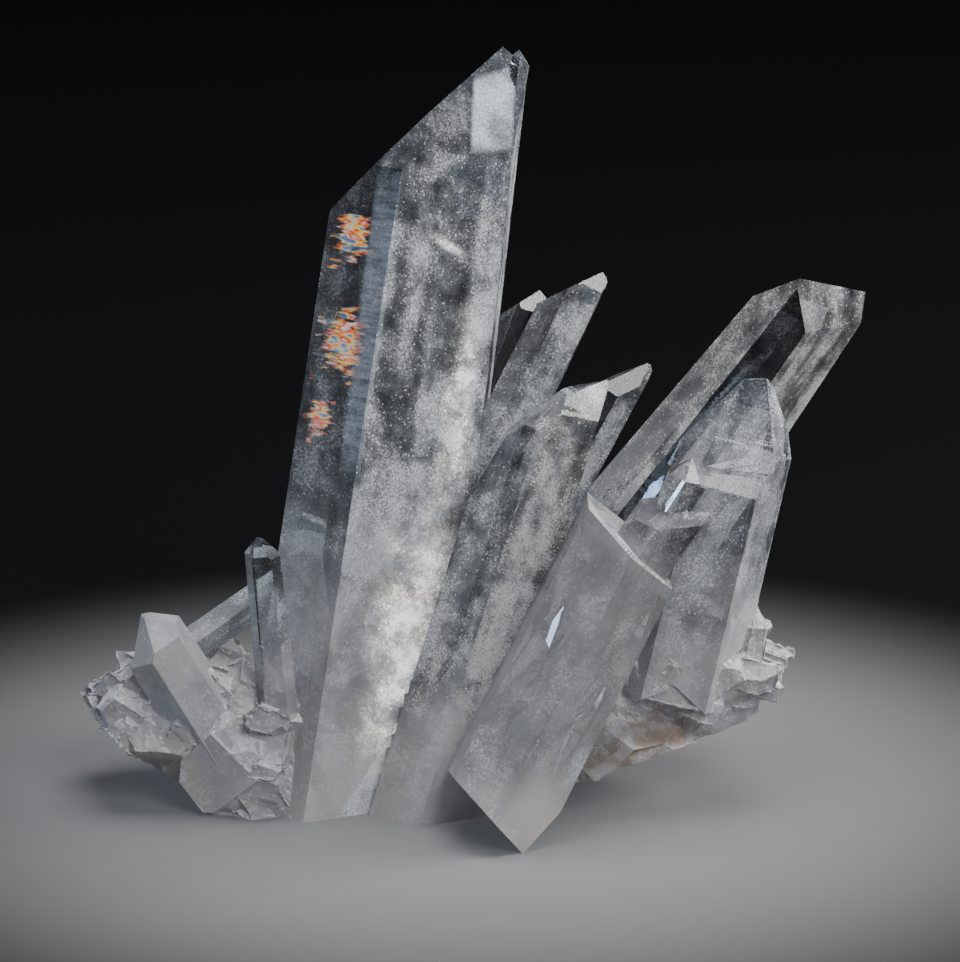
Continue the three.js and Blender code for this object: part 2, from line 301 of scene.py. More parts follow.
def crystal_of_chip(centre, axes):
    """The crystal that a small break high up on a clear crystal belongs to, or None low down."""
    near = min(axes, key=lambda crystal: crystal.off_axis(centre) / crystal.radius)
    is_on_it = near.off_axis(centre) < CHIP_REACH * near.radius
    is_high = near.height(centre) > min(near.fade[1], 0) + CHIP_RISE
    return near if is_on_it and is_high else None


def lies_in_root(polygon, crystal):
    """Whether a small face that looks like one of a crystal's is stone of the root beside it."""
    is_small = polygon.area < ROOT_FACE_AREA
    return is_small and crystal.height(polygon.center) < crystal.fade[0] + ROOT_RISE


# Small helpers for the modelling


def select_only(obj):
    """Makes one object the only selected one, and the active one."""
    bpy.ops.object.select_all(action="DESELECT")
    obj.select_set(True)
    bpy.context.view_layer.objects.active = obj


def finished(obj, material, standing_for=None):
    """Puts a piece's place into its mesh, gives it its material and lets it ride.

    Scattered light skips the quartz, and only the solid itself casts a shadow, not the layers on
    and in it. Both spare the render its long paths through them.
    """
    select_only(obj)
    bpy.ops.object.transform_apply(location=True, rotation=True, scale=True)
    obj.data.materials.clear()
    obj.data.materials.append(material)
    obj.visible_diffuse = False
    obj.visible_shadow = bool(standing_for)
    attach(obj, BODY)
    if standing_for:
        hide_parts(standing_for)
    return obj


def apply_modifiers(obj):
    """Applies every modifier of an object, in their order."""
    select_only(obj)
    for modifier in list(obj.modifiers):
        bpy.ops.object.modifier_apply(modifier=modifier.name)


def delete_faces(obj, is_unwanted):
    """Deletes the faces of an object for which `is_unwanted` is true."""
    mesh = obj.data
    for part in (mesh.vertices, mesh.edges):
        for item in part:
            item.select = False
    for polygon in mesh.polygons:
        polygon.select = is_unwanted(polygon)
    select_only(obj)
    bpy.ops.object.mode_set(mode="EDIT")
    bpy.ops.mesh.select_mode(type="FACE")
    bpy.ops.mesh.delete(type="FACE")
    bpy.ops.object.mode_set(mode="OBJECT")


def subdivide_long_edges(obj, wanted, longest, most_rounds=8):
    """Halves the edges of the wanted faces until none is longer than `longest`."""
    select_only(obj)
    for _ in range(most_rounds):
        mesh = obj.data
        keep = mesh.attributes[wanted].data
        long_edges = set()
        for polygon in mesh.polygons:
            if keep[polygon.index].value < 0.5:
                continue
            for key in polygon.edge_keys:
                a, b = (mesh.vertices[i].co for i in key)
                if (a - b).length > longest:
                    long_edges.add(key)
        if not long_edges:
            break
        for edge in mesh.edges:
            edge.select = tuple(edge.key) in long_edges
        for vertex in mesh.vertices:
            vertex.select = False
        for polygon in mesh.polygons:
            polygon.select = False
        bpy.ops.object.mode_set(mode="EDIT")
        bpy.ops.mesh.select_mode(type="EDGE")
        bpy.ops.mesh.subdivide(number_cuts=1)
        bpy.ops.mesh.select_all(action="SELECT")
        bpy.ops.mesh.quads_convert_to_tris(quad_method="BEAUTY", ngon_method="BEAUTY")
        bpy.ops.object.mode_set(mode="OBJECT")


# Node building


class Nodes:
    """A short way to write down a node tree."""

    def __init__(self, tree):
        self.tree = tree

    def add(self, kind, **values):
        node = self.tree.nodes.new(kind)
        for key, value in values.items():
            setattr(node, key, value)
        return node

    def link(self, source, target):
        self.tree.links.new(source, target)

    def feed(self, socket, value):
        if isinstance(value, bpy.types.NodeSocket):
            self.link(value, socket)
        else:
            socket.default_value = value

    def math(self, operation, a, b=0.0, c=0.0, clamp=False):
        node = self.add("ShaderNodeMath", operation=operation, use_clamp=clamp)
        for socket, value in zip(node.inputs, (a, b, c)):
            self.feed(socket, value)
        return node.outputs[0]

    def between(self, value, low, high, to_low=0.0, to_high=1.0):
        node = self.add("ShaderNodeMapRange", interpolation_type="SMOOTHSTEP")
        for socket, number in zip(node.inputs, (value, low, high, to_low, to_high)):
            self.feed(socket, number)
        return node.outputs[0]

    def place(self, scale=(1, 1, 1), turn=(0, 0, 0)):
        mapping = self.add("ShaderNodeMapping")
        self.link(self.add("ShaderNodeTexCoord").outputs["Object"], mapping.inputs["Vector"])
        mapping.inputs["Scale"].default_value = scale
        mapping.inputs["Rotation"].default_value = turn
        return mapping.outputs[0]

    def clouds(self, vector, scale, detail=3.0, rough=0.55, warp=0.0):
        node = self.add("ShaderNodeTexNoise")
        self.feed(node.inputs["Vector"], vector)
        self.feed(node.inputs["Scale"], scale)
        node.inputs["Detail"].default_value = detail
        node.inputs["Roughness"].default_value = rough
        node.inputs["Distortion"].default_value = warp
        return node.outputs["Fac"]

    def grains(self, vector, scale):
        """A colour of its own for every small cube of space."""
        scaled = self.add("ShaderNodeVectorMath", operation="SCALE")
        self.feed(scaled.inputs[0], vector)
        self.feed(scaled.inputs["Scale"], scale)
        whole = self.add("ShaderNodeVectorMath", operation="FLOOR")
        self.link(scaled.outputs[0], whole.inputs[0])
        luck = self.add("ShaderNodeTexWhiteNoise", noise_dimensions="3D")
        self.link(whole.outputs[0], luck.inputs["Vector"])
        return luck.outputs["Color"]

    def blend(self, factor, a, b):
        node = self.add("ShaderNodeMix", data_type="RGBA")
        self.feed(node.inputs["Factor"], factor)
        self.feed(node.inputs["A"], a)
        self.feed(node.inputs["B"], b)
        return node.outputs["Result"]

    def ramp(self, value, stops):
        node = self.add("ShaderNodeValToRGB")
        self.feed(node.inputs["Fac"], value)
        elements = node.color_ramp.elements
        while len(elements) < len(stops):
            elements.new(0.5)
        for element, (position, colour) in zip(elements, stops):
            element.position = position
            element.color = (*colour, 1)
        return node.outputs["Color"]

    def bump(self, height, distance, strength):
        node = self.add("ShaderNodeBump")
        self.feed(node.inputs["Height"], height)
        node.inputs["Distance"].default_value = distance
        node.inputs["Strength"].default_value = strength
        return node.outputs["Normal"]

    def use(self, group, **values):
        node = self.add("ShaderNodeGroup", node_tree=group)
        for key, value in values.items():
            self.feed(node.inputs[key.replace("_", " ").capitalize()], value)
        return node


def new_material(name):
    """A material with its nodes and its Principled BSDF."""
    material = bpy.data.materials.new(name)
    material.use_nodes = True
    nodes = Nodes(material.node_tree)
    shader = material.node_tree.nodes["Principled BSDF"]
    return material, nodes, shader


def new_group(name, inputs, outputs):
    """An empty node group with its sockets, and its nodes for what goes in and comes out."""
    group = bpy.data.node_groups.new(name, "ShaderNodeTree")
    for label, kind, value in inputs:
        socket = group.interface.new_socket(label, in_out="INPUT", socket_type=kind)
        if value is not None:
            socket.default_value = value
    for label, kind in outputs:
        group.interface.new_socket(label, in_out="OUTPUT", socket_type=kind)
    nodes = Nodes(group)
    return group, nodes, nodes.add("NodeGroupInput"), nodes.add("NodeGroupOutput")


def speckle_group():
    """Bright grains and dark gaps of a veil: fine grains that come and go with larger clouds."""
    if "speckled veil" in bpy.data.node_groups:
        return bpy.data.node_groups["speckled veil"]
    group, n, given, out = new_group(
        "speckled veil",
        [
            ("Grain size", "NodeSocketFloat", 0.0004),
            ("Cloud size", "NodeSocketFloat", 0.008),
            ("Haze", "NodeSocketFloat", 0.2),
            ("Sparkle", "NodeSocketFloat", 0.8),
        ],
        [("Mask", "NodeSocketFloat"), ("Grain", "NodeSocketFloat")],
    )
    where = n.place(turn=GRAIN_TURN)
    grain_scale = n.math("DIVIDE", 1.0, given.outputs["Grain size"])
    cloud_scale = n.math("DIVIDE", 1.0, given.outputs["Cloud size"])
    luck = n.add("ShaderNodeSeparateColor")
    n.link(n.grains(where, grain_scale), luck.inputs[0])
    clouds = n.clouds(where, cloud_scale, detail=2, rough=0.7)
    dense = n.between(clouds, 0.42, 0.66)
    least_luck = n.math("SUBTRACT", 0.97, n.math("MULTIPLY", dense, 0.4))
    bright = n.between(luck.outputs[0], least_luck, 1.0)
    haze = n.math("MULTIPLY", given.outputs["Haze"], n.between(clouds, 0.3, 0.7, 0.25, 1.5))
    shimmer = n.math("MULTIPLY", haze, n.math("ADD", luck.outputs[1], 0.5))
    mask = n.math("MULTIPLY_ADD", bright, given.outputs["Sparkle"], shimmer, clamp=True)
    n.link(mask, out.inputs["Mask"])
    n.link(bright, out.inputs["Grain"])
    return group


def growth_group():
    """Fine growth lines across a crystal, in bands that come and go, as one height."""
    if "growth relief" in bpy.data.node_groups:
        return bpy.data.node_groups["growth relief"]
    group, n, given, out = new_group(
        "growth relief",
        [("Line spacing", "NodeSocketFloat", 0.0006)],
        [("Height", "NodeSocketFloat")],
    )
    uv = n.add("ShaderNodeUVMap", uv_map="growth").outputs["UV"]
    stretched = n.add("ShaderNodeVectorMath", operation="MULTIPLY")
    n.link(uv, stretched.inputs[0])
    stretched.inputs[1].default_value = (0.12, 1.0, 1.0)
    spacing = n.math("DIVIDE", 1.0, given.outputs["Line spacing"])
    lines = n.clouds(stretched.outputs[0], spacing, detail=0)
    steps = n.clouds(stretched.outputs[0], n.math("MULTIPLY", spacing, 0.22), detail=0)
    n.link(n.math("MULTIPLY", lines, n.between(steps, 0.45, 0.62)), out.inputs["Height"])
    return group


def milky_group(looks):
    """The look of milky quartz: its tone, its patches, its sparkling grains and its fine relief."""
    if "milky look" in bpy.data.node_groups:
        return bpy.data.node_groups["milky look"]
    group, n, given, out = new_group(
        "milky look",
        [("Grit", "NodeSocketFloat", 1.0)],
        [
            ("Tone", "NodeSocketColor"), ("Patches", "NodeSocketFloat"),
            ("Sparkle", "NodeSocketFloat"), ("Height", "NodeSocketFloat"),
        ],
    )
    where = n.place()
    grit = given.outputs["Grit"]
    cloudy = n.clouds(where, 90.0, detail=2, rough=0.7)
    contrast = n.math("MULTIPLY_ADD", grit, 0.75, 0.25)
    patches = n.math("MULTIPLY_ADD", n.math("SUBTRACT", cloudy, 0.5), contrast, 0.5)
    grains = n.use(speckle_group(), grain_size=0.0003, cloud_size=0.006, haze=0.3, sparkle=0.9)
    sparkle = n.math("MULTIPLY", grains.outputs["Grain"], grit)
    tone = n.blend(n.between(patches, 0.35, 0.68), (*looks.milk_cool, 1), (*looks.milk_warm, 1))
    tone = n.blend(n.math("MULTIPLY", sparkle, 0.75), tone, (0.96, 0.96, 0.97, 1))
    split = n.add("ShaderNodeSeparateXYZ")
    n.link(n.add("ShaderNodeTexCoord").outputs["Object"], split.inputs[0])
    x, z = split.outputs["X"], split.outputs["Z"]
    on_the_right = n.math("MULTIPLY", n.between(x, 0.012, 0.019), n.between(x, 0.030, 0.037, 1.0, 0.0))
    low_right = n.math("MULTIPLY", on_the_right, n.between(z, 0.012, 0.02, 1.0, 0.0))
    rust = n.math("MULTIPLY", low_right, n.between(n.clouds(where, 260.0, detail=2), 0.42, 0.6))
    tone = n.blend(n.math("MULTIPLY", rust, 0.75), tone, (*looks.iron_stain, 1))
    low = n.between(z, 0.0, 0.018, 0.25, 0.0)
    tone = n.blend(low, tone, (*looks.low_beige, 1))
    n.link(tone, out.inputs["Tone"])
    n.link(patches, out.inputs["Patches"])
    n.link(sparkle, out.inputs["Sparkle"])
    fine = n.clouds(where, 700.0, detail=3, rough=0.7)
    n.link(n.math("MULTIPLY", fine, contrast), out.inputs["Height"])
    return group


# Materials


def clear_quartz(looks):
    """The clear crystals: see-through, with fine growth lines and a faint tint in their depth."""
    material, n, shader = new_material("clear quartz")
    shader.inputs["Base Color"].default_value = (*looks.clear_colour, 1)
    shader.inputs["Transmission Weight"].default_value = 1.0
    shader.inputs["IOR"].default_value = QUARTZ_IOR
    relief = n.use(growth_group(), line_spacing=0.0007)
    n.link(n.bump(relief.outputs["Height"], 0.00002, 0.35), shader.inputs["Normal"])
    smears = n.clouds(n.place(), 220.0, detail=0)
    n.link(n.between(smears, 0.45, 0.7, 0.0, 0.05), shader.inputs["Roughness"])
    absorb = n.add("ShaderNodeVolumeAbsorption")
    absorb.inputs["Color"].default_value = (0.78, 0.84, 0.9, 1)
    absorb.inputs["Density"].default_value = looks.depth_of_tone
    output = next(node for node in material.node_tree.nodes if node.type == "OUTPUT_MATERIAL")
    n.link(absorb.outputs[0], output.inputs["Volume"])
    return material


def milky_stone(looks):
    """The broken root: opaque, with sparkling grains and fine breaks."""
    material, n, shader = new_material("milky stone")
    look = n.use(milky_group(looks), grit=1.0)
    n.link(look.outputs["Tone"], shader.inputs["Base Color"])
    n.link(n.between(look.outputs["Patches"], 0.3, 0.7, 0.22, 0.48), shader.inputs["Roughness"])
    n.link(n.bump(look.outputs["Height"], 0.0003, 0.5), shader.inputs["Normal"])
    shader.inputs["IOR"].default_value = QUARTZ_IOR
    return material


def milky_haze(looks):
    """The milk in the feet of the crystals, which fades out up their faces."""
    material, n, shader = new_material("milky haze")
    milk = n.add("ShaderNodeAttribute", attribute_name="milk").outputs["Fac"]
    grit = n.add("ShaderNodeAttribute", attribute_name="grit").outputs["Fac"]
    look = n.use(milky_group(looks), grit=grit)
    n.link(look.outputs["Tone"], shader.inputs["Base Color"])
    cover = n.math("MULTIPLY", milk, n.between(look.outputs["Patches"], 0.3, 0.7, 0.7, 1.12))
    cover = n.math("MULTIPLY_ADD", look.outputs["Sparkle"], n.math("MULTIPLY", milk, 0.6), cover)
    n.link(n.math("MINIMUM", cover, 0.97, clamp=True), shader.inputs["Alpha"])
    shader.inputs["Roughness"].default_value = 0.3
    shader.inputs["IOR"].default_value = QUARTZ_IOR
    return material


def speckled_veils(looks):
    """Tiny bubbles and healed cracks of a crystal, as a haze with bright and dark grains."""
    material, n, shader = new_material("speckled veils")
    grains = n.use(speckle_group(), grain_size=0.00022, cloud_size=0.007, haze=0.42, sparkle=0.9)
    density = n.add("ShaderNodeAttribute", attribute_name="veiling").outputs["Fac"]
    warmth = n.add("ShaderNodeAttribute", attribute_name="warmth").outputs["Fac"]
    tone = n.blend(warmth, (*looks.veil_cool, 1), (*looks.veil_warm, 1))
    n.link(n.blend(grains.outputs["Grain"], tone, (1, 1, 1, 1)), shader.inputs["Base Color"])
    growth = n.add("ShaderNodeUVMap", uv_map="growth").outputs["UV"]
    split = n.add("ShaderNodeSeparateXYZ")
    n.link(growth, split.inputs[0])
    streak = n.add("ShaderNodeVectorMath", operation="MULTIPLY")
    n.link(growth, streak.inputs[0])
    streak.inputs[1].default_value = (1.0, 0.012, 1.0)
    bands = n.between(n.clouds(streak.outputs[0], 190.0, detail=2, rough=0.6), 0.35, 0.65, 0.45, 1.4)
    rise = n.between(split.outputs["Y"], 0.1, 0.95, 1.5, 0.7)
    cover = n.math("MULTIPLY", grains.outputs["Mask"], density)
    cover = n.math("MULTIPLY", cover, n.math("MULTIPLY", bands, rise))
    n.link(n.math("MINIMUM", cover, 0.95, clamp=True), shader.inputs["Alpha"])
    shader.inputs["Roughness"].default_value = 0.5
    return material


def edge_fade(n, soft):
    """Falls off towards the four sides of a sheet, read from its own map."""
    split = n.add("ShaderNodeSeparateXYZ")
    n.link(n.add("ShaderNodeUVMap", uv_map="UVMap").outputs["UV"], split.inputs[0])
    sides = []
    for axis in ("X", "Y"):
        middle = n.math("SUBTRACT", split.outputs[axis], 0.5)
        sides.append(n.between(n.math("ABSOLUTE", middle), 0.5 - soft, 0.5, 1.0, 0.0))
    return n.math("MULTIPLY", *sides)


def from_front(n):
    """1 where a sheet is seen from the side it faces, 0 from behind."""
    return n.math("SUBTRACT", 1.0, n.add("ShaderNodeNewGeometry").outputs["Backfacing"])


def rainbow_fracture(looks):
    """A thin gap inside the quartz that breaks light into colours, in streaks across, with a painted
    glow that lights it.
    """
    material, n, shader = new_material("rainbow fracture")
    streaks = n.clouds(n.place(scale=(1, 1, 4)), 300.0, detail=2, rough=0.6)
    hue = n.clouds(n.place(scale=(1, 1, 3)), 330.0, detail=1, rough=0.6)
    colours = n.ramp(n.between(hue, 0.3, 0.7), [
        (0.0, (0.12, 0.2, 0.45)), (0.25, (0.75, 0.72, 0.5)), (0.42, (1.0, 0.55, 0.06)),
        (0.58, (1.0, 0.22, 0.02)), (0.75, (0.75, 0.05, 0.06)), (1.0, (0.85, 0.7, 0.62)),
    ])
    fade = edge_fade(n, 0.45)
    cover = n.between(n.math("MULTIPLY_ADD", fade, 0.35, streaks), 0.57, 0.78)
    n.link(colours, shader.inputs["Base Color"])
    # Painted light: the fracture glows in its own colours by emission, in place of lamp light, which
    # does not reach a sheet inside refracting glass.
    n.link(colours, shader.inputs["Emission Color"])
    shader.inputs["Emission Strength"].default_value = looks.rainbow_painted_glow
    material.cycles.emission_sampling = "NONE"
    n.link(n.math("MULTIPLY", from_front(n), cover), shader.inputs["Alpha"])
    shader.inputs["Roughness"].default_value = 0.25
    return material


def striped_painted_reflection(looks):
    """A strip beside the front edge of the main crystal: its growth lines are the quartz's own, and
    its pale blue is a painted reflection, brightened by a painted glow.
    """
    material, n, shader = new_material("striped painted reflection")
    lines = n.clouds(n.place(scale=(0.15, 0.15, 1)), 1300.0, detail=3, rough=0.7)
    patches = n.clouds(n.place(scale=(1, 1, 0.5)), 160.0, detail=3)
    n.link(
        n.blend(n.between(lines, 0.4, 0.65), (*looks.painted_reflection_colour, 1), (0.86, 0.9, 0.96, 1)),
        shader.inputs["Base Color"],
    )
    dense = n.between(lines, 0.3, 0.6, 0.4, 0.95)
    cover = n.math("MULTIPLY", dense, n.between(patches, 0.2, 0.5, 0.3, 1.0))
    cover = n.math("MULTIPLY", cover, edge_fade(n, 0.2))
    n.link(n.math("MULTIPLY", from_front(n), cover), shader.inputs["Alpha"])
    # Painted light: the strip glows by emission in its painted reflection colour.
    shader.inputs["Emission Color"].default_value = (*looks.painted_reflection_colour, 1)
    shader.inputs["Emission Strength"].default_value = looks.strip_painted_glow
    material.cycles.emission_sampling = "NONE"
    shader.inputs["Roughness"].default_value = 0.3
    return material


def grey_veil(looks):
    """The even grey haze beside the tip of the main crystal."""
    material, n, shader = new_material("grey veil")
    grains = n.use(speckle_group(), grain_size=0.0002, cloud_size=0.01, haze=0.5, sparkle=0.5)
    shader.inputs["Base Color"].default_value = (*looks.veil_cool, 1)
    cover = n.math("MULTIPLY", n.math("MULTIPLY", grains.outputs["Mask"], edge_fade(n, 0.12)), 0.9)
    n.link(n.math("MULTIPLY", from_front(n), cover), shader.inputs["Alpha"])
    shader.inputs["Roughness"].default_value = 0.5
    return material


def core_cloud(looks):
    """The dense white cloud in the foot of the main crystal, and its bright streaks, lit further by a
    painted glow.
    """
    material, n, shader = new_material("white core")
    grains = n.use(speckle_group(), grain_size=0.00026, cloud_size=0.004, haze=0.35, sparkle=1.0)
    warm = n.between(n.clouds(n.place(), 110.0, detail=2), 0.45, 0.65)
    white = n.blend(warm, (0.93, 0.93, 0.95, 1), (0.95, 0.88, 0.78, 1))
    n.link(white, shader.inputs["Base Color"])
    # Painted light: the white core, the sparkling veil and the diagonal veil glow by emission,
    # brighter than the lamps alone light them.
    n.link(white, shader.inputs["Emission Color"])
    shader.inputs["Emission Strength"].default_value = looks.core_painted_glow
    material.cycles.emission_sampling = "NONE"
    clouds = n.between(n.clouds(n.place(), 130.0, detail=3, rough=0.6, warp=0.6), 0.38, 0.66, 0.3, 1.5)
    cover = n.math("MULTIPLY", n.math("MULTIPLY", grains.outputs["Mask"], clouds), edge_fade(n, 0.45))
    cover = n.math("MULTIPLY", cover, 1.5, clamp=True)
    n.link(n.math("MULTIPLY", from_front(n), cover), shader.inputs["Alpha"])
    shader.inputs["Roughness"].default_value = 0.7
    return material


# The clear body and its milky skin


def mark_faces(mesh, axes):
    """Notes on each face whether it is broken stone, and its growth map across and along."""
    broken = mesh.attributes.new("broken", "FLOAT", "FACE")
    owner = mesh.attributes.new("owner", "INT", "FACE")
    growth = mesh.uv_layers.new(name="growth")
    for polygon in mesh.polygons:
        crystal = None
        if polygon.area > CRYSTAL_FACE_AREA and abs(polygon.normal.z) < LEVEL:
            crystal = crystal_of_face(polygon.normal, polygon.center, axes)
            if crystal and lies_in_root(polygon, crystal):
                crystal = None
        crystal = crystal or crystal_of_chip(polygon.center, axes)
        owner.data[polygon.index].value = axes.index(crystal) if crystal else -1
        on_cut = polygon.normal.z < -LEVEL
        broken.data[polygon.index].value = 0.0 if crystal or on_cut else 1.0
        up = crystal.up if crystal else Vector((0, 0, 1))
        side = polygon.normal.cross(up)
        side = side.normalized() if side.length > 1e-6 else Vector((1, 0, 0))
        for corner in polygon.loop_indices:
            point = mesh.vertices[mesh.loops[corner].vertex_index].co
            growth.data[corner].uv = (point.dot(side), point.dot(up))


def smoothstep(low, high, value):
    """Rises softly from 0 at `low` to 1 at `high`, or falls where `high` is the lower one."""
    share = max(0.0, min(1.0, (value - low) / (high - low)))
    return share * share * (3 - 2 * share)


def paint_milk(mesh, axes):
    """How milky the quartz is at each corner of the mesh."""
    milk = mesh.attributes.new("milk", "FLOAT", "POINT")
    owner = mesh.attributes["owner"].data
    total = [0.0] * len(mesh.vertices)
    count = [0] * len(mesh.vertices)
    for polygon in mesh.polygons:
        index = owner[polygon.index].value
        for vertex in polygon.vertices:
            point = mesh.vertices[vertex].co
            wander = MILK_WANDER * noise.noise(point * MILK_WANDER_RATE)
            if index < 0:
                value = STONE_MILK
            else:
                crystal = axes[index]
                clear, milky = crystal.fade[1], crystal.fade[0]
                own = crystal.milk * smoothstep(clear, milky, crystal.height(point) + wander)
                foot = smoothstep(*FOOT_MILK, point.z + wander)
                value = STONE_MILK * max(own, foot)
            total[vertex] += value
            count[vertex] += 1
    for vertex, (value, times) in enumerate(zip(total, count)):
        milk.data[vertex].value = value / max(times, 1)


def body_of_quartz():
    """A merged copy of the solid, with its flat faces whole again."""
    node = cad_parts[NODE]
    body = bpy.data.objects.new("crystal_cluster", node.data.copy())
    bpy.context.collection.objects.link(body)
    select_only(body)
    bpy.ops.object.mode_set(mode="EDIT")
    bpy.ops.mesh.select_all(action="SELECT")
    bpy.ops.mesh.remove_doubles(threshold=2e-6)
    bpy.ops.mesh.dissolve_limited(angle_limit=math.radians(0.3))
    bpy.ops.object.mode_set(mode="OBJECT")
    bpy.ops.mesh.customdata_custom_splitnormals_clear()
    bpy.ops.object.shade_flat()
    for name in [layer.name for layer in body.data.uv_layers]:
        body.data.uv_layers.remove(body.data.uv_layers[name])
    return body


def roughen_broken_stone(body, depth):
    """Breaks up the stone's flat facets, only inwards."""
    mesh = body.data
    group = body.vertex_groups.new(name="broken")
    keep = mesh.attributes["broken"].data
    weight = [1.0] * len(mesh.vertices)
    for polygon in mesh.polygons:
        if keep[polygon.index].value < 0.5:
            for vertex in polygon.vertices:
                weight[vertex] = 0.0
    for vertex, share in enumerate(weight):
        group.add([vertex], share, "REPLACE")
    for name, kind, size, share in STONE_BREAKS:
        texture = bpy.data.textures.new(name, kind)
        texture.noise_scale = size
        modifier = body.modifiers.new(name, "DISPLACE")
        modifier.texture = texture
        modifier.texture_coords = "LOCAL"
        modifier.vertex_group = "broken"
        modifier.mid_level = 1.0
        modifier.strength = depth * share
    apply_modifiers(body)


def paint_grit(mesh, axes):
    """How gritty the skin is at each corner of the mesh."""
    grit = mesh.attributes.new("grit", "FLOAT", "POINT")
    owner = mesh.attributes["owner"].data
    broken = [crystal.name for crystal in axes].index("broken")
    for polygon in mesh.polygons:
        index = owner[polygon.index].value
        value = STONE_GRIT if index < 0 else BROKEN_GRIT if index == broken else CRYSTAL_GRIT
        for vertex in polygon.vertices:
            grit.data[vertex].value = value


def flatten_foot(mesh):
    """Nothing goes under the cut that the cluster stands on."""
    for vertex in mesh.vertices:
        vertex.co.z = max(vertex.co.z, 0.0)


class QUARTZ_OT_body(bpy.types.Operator):
    """Make the clear body of the cluster, and the milky skin of its root"""

    bl_idname = "quartz.body"
    bl_label = "Clear body and milky root"

    def execute(self, context):
        looks = context.scene.quartz_looks
        axes = crystal_axes()
        body = body_of_quartz()
        mark_faces(body.data, axes)
        subdivide_long_edges(body, "broken", looks.chip_size)
        roughen_broken_stone(body, looks.chip_depth)
        flatten_foot(body.data)
        paint_milk(body.data, axes)

        haze = bpy.data.objects.new("milky_haze", body.data.copy())
        context.collection.objects.link(haze)
        subdivide_crystal_faces(haze, axes)
        milk = haze.data.attributes["milk"].data
        owner = haze.data.attributes["owner"].data

        def is_clear_or_stone(polygon):
            most_milk = max(milk[vertex].value for vertex in polygon.vertices)
            return most_milk < LEAST_MILK or owner[polygon.index].value < 0

        delete_faces(haze, is_clear_or_stone)

        inwards = body.modifiers.new("inwards", "DISPLACE")
        inwards.mid_level = 0.0
        inwards.strength = -looks.skin_gap
        apply_modifiers(body)
        flatten_foot(body.data)
        finished(body, clear_quartz(looks), NODE)
        body.data.materials.append(milky_stone(looks))
        owner = body.data.attributes["owner"].data
        for polygon in body.data.polygons:
            polygon.material_index = 1 if owner[polygon.index].value < 0 else 0
        finished(haze, milky_haze(looks))
        return {"FINISHED"}


def subdivide_crystal_faces(skin, axes):
    """Gives the large flat faces of the skin enough corners for the milk to fade out over them."""
    mesh = skin.data
    flat = mesh.attributes.new("flat", "FLOAT", "FACE")
    owner = mesh.attributes["owner"].data
    for polygon in mesh.polygons:
        flat.data[polygon.index].value = 1.0 if owner[polygon.index].value >= 0 else 0.0
    subdivide_long_edges(skin, "flat", HAZE_EDGE)
    mesh = skin.data
    mesh.attributes.remove(mesh.attributes["milk"])
    paint_milk(mesh, axes)
    paint_grit(mesh, axes)


# The veils and fractures inside


def veils_on_faces(body, axes, rise):
    """A thin sheet just over every clear face of every crystal, each face by itself."""
    veil = bpy.data.objects.new("speckled_veils", body.data.copy())
    bpy.context.collection.objects.link(veil)
    owner = veil.data.attributes["owner"].data
    delete_faces(veil, lambda polygon: owner[polygon.index].value < 0)
    bpy.ops.object.mode_set(mode="EDIT")
    bpy.ops.mesh.select_all(action="SELECT")
    bpy.ops.mesh.edge_split(type="EDGE")
    bpy.ops.object.mode_set(mode="OBJECT")
    mesh = veil.data
    shifts = [None] * len(mesh.vertices)
    for polygon in mesh.polygons:
        for vertex in polygon.vertices:
            shifts[vertex] = polygon.normal * rise
    for vertex, shift in zip(mesh.vertices, shifts):
        vertex.co += shift
    paint_veils(mesh, axes)
    return veil


def paint_veils(mesh, axes):
    """How dense and warm each veil is, and its map: across it, and up its crystal from 0 to 1."""
    for name in ("veiling", "warmth"):
        mesh.attributes.new(name, "FLOAT", "POINT")
    owner, veiling, warmth = (mesh.attributes[name].data for name in ("owner", "veiling", "warmth"))
    growth = mesh.uv_layers["growth"].data
    heights = {}
    for polygon in mesh.polygons:
        index = owner[polygon.index].value
        for vertex in polygon.vertices:
            heights.setdefault(index, []).append(axes[index].height(mesh.vertices[vertex].co))
    for polygon in mesh.polygons:
        index = owner[polygon.index].value
        crystal = axes[index]
        on_point = crystal.slope(polygon.normal) > LEAST_POINT_SLOPE
        table = crystal.tip_veils if on_point else crystal.veils
        share = table[crystal.face_like(polygon.normal)]
        low, high = min(heights[index]), max(heights[index])
        side = polygon.normal.cross(crystal.up).normalized()
        for corner in polygon.loop_indices:
            vertex = mesh.loops[corner].vertex_index
            point = mesh.vertices[vertex].co
            veiling[vertex].value = share
            warmth[vertex].value = crystal.warmth
            growth[corner].uv = (point.dot(side), (crystal.height(point) - low) / (high - low))


